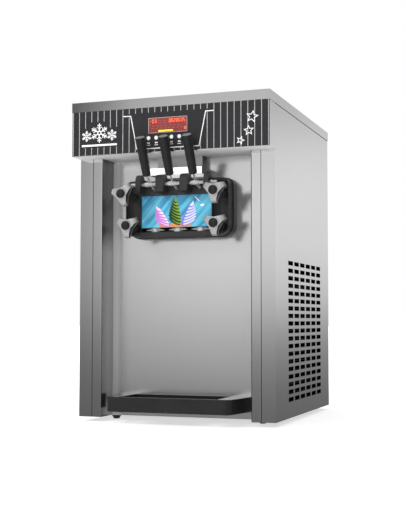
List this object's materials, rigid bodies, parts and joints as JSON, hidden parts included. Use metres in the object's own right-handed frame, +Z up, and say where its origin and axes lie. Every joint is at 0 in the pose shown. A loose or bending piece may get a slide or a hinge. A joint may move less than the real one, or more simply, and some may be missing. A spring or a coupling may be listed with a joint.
{
  "type": "soft serve machine",
  "caption": "Countertop soft serve machine: steel cabinet, striped header with keys, black dispensing head with pull levers, and a drip tray in a recessed bay.",
  "frame": {"origin": "centre of the overall footprint, on the plane that the feet stand on", "axes": "+Z up, +Y from the dispensing side to the back, +X to the right as seen from the front"},
  "size_m": [0.5384, 0.6906, 0.8586],
  "materials": {
    "brushed_steel": "fine vertical brushing, satin",
    "galvanised_steel": "matt galvanised sheet",
    "polished_steel": "mirror polished stainless steel",
    "black_rubber": "matt moulded rubber",
    "printed_panel": "printed film, semi-gloss, thin grey stripes",
    "display_red": "red backlit display behind a clear window",
    "button_white": "smooth white keys",
    "circuit_board": "printed circuit board",
    "head_plastic": "moulded, satin with soft highlights",
    "picture_print": "printed card under clear film",
    "chrome_rod": "chromed bar and screws",
    "handle_plastic": "satin moulded grips and caps",
    "piston_plastic": "white food-grade plastic",
    "cast_nut_metal": "satin die-cast metal",
    "nozzle_metal": "satin stainless steel",
    "tray_plastic": "black moulded plastic with a soft gloss",
    "pulley_aluminium": "machined and folded aluminium",
    "motor_grey": "painted steel housing",
    "compressor_black": "black paint",
    "belt_rubber": "ribbed rubber"
  },
  "bodies": {
    "cabinet": {"base_pan": "galvanised_steel", "inner_frame": "galvanised_steel", "feet": "black_rubber", "side_panel_left": "brushed_steel", "side_panel_right": "brushed_steel", "rear_panel": "brushed_steel", "front_pillars": "brushed_steel", "front_panel": "brushed_steel", "top_cover": "brushed_steel", "header_shell": "brushed_steel", "header_overlay": "printed_panel", "display_window": "display_red", "control_board": "circuit_board", "valve_hood": "polished_steel", "dispensing_head": "head_plastic", "picture_card": "picture_print", "pivot_rod": "chrome_rod", "nozzles": "nozzle_metal", "head_studs": "chrome_rod", "freezing_cylinders": "polished_steel", "hoppers": "polished_steel", "drive_motor": "motor_grey", "drive_belt": "belt_rubber", "compressor": "compressor_black", "condenser": "pulley_aluminium", "panel_screws": "chrome_rod", "power_inlet": "tray_plastic"},
    "lever_left": {"lever_stem_left": "chrome_rod", "lever_handle_left": "handle_plastic"},
    "lever_middle": {"lever_stem_middle": "chrome_rod", "lever_handle_middle": "handle_plastic"},
    "lever_right": {"lever_stem_right": "chrome_rod", "lever_handle_right": "handle_plastic"},
    "valve_left": {"piston_left": "piston_plastic"},
    "valve_middle": {"piston_middle": "piston_plastic"},
    "valve_right": {"piston_right": "piston_plastic"},
    "nut_upper_left": {"hand_nut_upper_left": "cast_nut_metal", "nut_cap_upper_left": "handle_plastic"},
    "nut_lower_left": {"hand_nut_lower_left": "cast_nut_metal", "nut_cap_lower_left": "handle_plastic"},
    "nut_upper_right": {"hand_nut_upper_right": "cast_nut_metal", "nut_cap_upper_right": "handle_plastic"},
    "nut_lower_right": {"hand_nut_lower_right": "cast_nut_metal", "nut_cap_lower_right": "handle_plastic"},
    "key_1": {"button_1": "button_white"},
    "key_2": {"button_2": "button_white"},
    "key_3": {"button_3": "button_white"},
    "key_4": {"button_4": "button_white"},
    "key_5": {"button_5": "button_white"},
    "key_6": {"button_6": "button_white"},
    "lid_left": {"hopper_lid_left": "polished_steel"},
    "lid_right": {"hopper_lid_right": "polished_steel"},
    "tray": {"drip_tray": "tray_plastic"},
    "grid": {"tray_grid": "tray_plastic"},
    "agitator_left": {"beater_left": "piston_plastic", "beater_pulley_left": "pulley_aluminium"},
    "agitator_right": {"beater_right": "piston_plastic", "beater_pulley_right": "pulley_aluminium"},
    "motor_drive": {"motor_pulley": "pulley_aluminium"},
    "fan": {"fan_blade": "pulley_aluminium"}
  },
  "joints": [
    {"name": "lever_left_pull", "type": "hinge", "parent": "cabinet", "child": "lever_left", "pos_m": [-0.063, -0.2607, 0.614], "axis": [1, 0, 0], "range_deg": [0, 45]},
    {"name": "lever_middle_pull", "type": "hinge", "parent": "cabinet", "child": "lever_middle", "pos_m": [0, -0.2607, 0.614], "axis": [1, 0, 0], "range_deg": [0, 45]},
    {"name": "lever_right_pull", "type": "hinge", "parent": "cabinet", "child": "lever_right", "pos_m": [0.063, -0.2607, 0.614], "axis": [1, 0, 0], "range_deg": [0, 45]},
    {"name": "piston_left_lift", "type": "slide", "parent": "cabinet", "child": "valve_left", "axis": [0, 0, 1], "range_m": [0, 0.0285]},
    {"name": "piston_middle_lift", "type": "slide", "parent": "cabinet", "child": "valve_middle", "axis": [0, 0, 1], "range_m": [0, 0.0285]},
    {"name": "piston_right_lift", "type": "slide", "parent": "cabinet", "child": "valve_right", "axis": [0, 0, 1], "range_m": [0, 0.0285]},
    {"name": "nut_upper_left_turn", "type": "hinge", "parent": "cabinet", "child": "nut_upper_left", "pos_m": [-0.1247, -0.29269, 0.587], "axis": [0, 1, 0], "continuous": true},
    {"name": "nut_lower_left_turn", "type": "hinge", "parent": "cabinet", "child": "nut_lower_left", "pos_m": [-0.119, -0.29269, 0.5065], "axis": [0, 1, 0], "continuous": true},
    {"name": "nut_upper_right_turn", "type": "hinge", "parent": "cabinet", "child": "nut_upper_right", "pos_m": [0.1247, -0.29269, 0.587], "axis": [0, 1, 0], "continuous": true},
    {"name": "nut_lower_right_turn", "type": "hinge", "parent": "cabinet", "child": "nut_lower_right", "pos_m": [0.119, -0.29269, 0.5065], "axis": [0, 1, 0], "continuous": true},
    {"name": "button_1_press", "type": "slide", "parent": "cabinet", "child": "key_1", "axis": [0, 1, 0], "range_m": [0, 0.001], "stiffness_N_per_m": 400},
    {"name": "button_2_press", "type": "slide", "parent": "cabinet", "child": "key_2", "axis": [0, 1, 0], "range_m": [0, 0.001], "stiffness_N_per_m": 400},
    {"name": "button_3_press", "type": "slide", "parent": "cabinet", "child": "key_3", "axis": [0, 1, 0], "range_m": [0, 0.001], "stiffness_N_per_m": 400},
    {"name": "button_4_press", "type": "slide", "parent": "cabinet", "child": "key_4", "axis": [0, 1, 0], "range_m": [0, 0.001], "stiffness_N_per_m": 400},
    {"name": "button_5_press", "type": "slide", "parent": "cabinet", "child": "key_5", "axis": [0, 1, 0], "range_m": [0, 0.001], "stiffness_N_per_m": 400},
    {"name": "button_6_press", "type": "slide", "parent": "cabinet", "child": "key_6", "axis": [0, 1, 0], "range_m": [0, 0.001], "stiffness_N_per_m": 400},
    {"name": "lid_left_lift", "type": "slide", "parent": "cabinet", "child": "lid_left", "axis": [0, 0, 1], "range_m": [0, 0.15]},
    {"name": "lid_right_lift", "type": "slide", "parent": "cabinet", "child": "lid_right", "axis": [0, 0, 1], "range_m": [0, 0.15]},
    {"name": "tray_slide", "type": "slide", "parent": "cabinet", "child": "tray", "axis": [0, -1, 0], "range_m": [0, 0.14]},
    {"name": "grid_lift", "type": "slide", "parent": "tray", "child": "grid", "axis": [0, 0, 1], "range_m": [0, 0.08]},
    {"name": "beater_left_spin", "type": "hinge", "parent": "cabinet", "child": "agitator_left", "pos_m": [-0.063, 0.0473, 0.547], "axis": [0, 1, 0], "continuous": true},
    {"name": "beater_right_spin", "type": "hinge", "parent": "cabinet", "child": "agitator_right", "pos_m": [0.063, 0.0473, 0.547], "axis": [0, 1, 0], "continuous": true},
    {"name": "motor_spin", "type": "hinge", "parent": "cabinet", "child": "motor_drive", "pos_m": [0, 0.19731, 0.342], "axis": [0, 1, 0], "continuous": true},
    {"name": "fan_spin", "type": "hinge", "parent": "cabinet", "child": "fan", "pos_m": [0.172, 0.0473, 0.237], "axis": [1, 0, 0], "continuous": true}
  ],
  "couplings": [
    {"joint": "piston_left_lift", "follows": "lever_left_pull", "m_per_rad": 0.036056},
    {"joint": "piston_middle_lift", "follows": "lever_middle_pull", "m_per_rad": 0.036056},
    {"joint": "piston_right_lift", "follows": "lever_right_pull", "m_per_rad": 0.036056},
    {"joint": "beater_right_spin", "follows": "beater_left_spin", "ratio": 1},
    {"joint": "motor_spin", "follows": "beater_left_spin", "ratio": 1.9643}
  ]
}
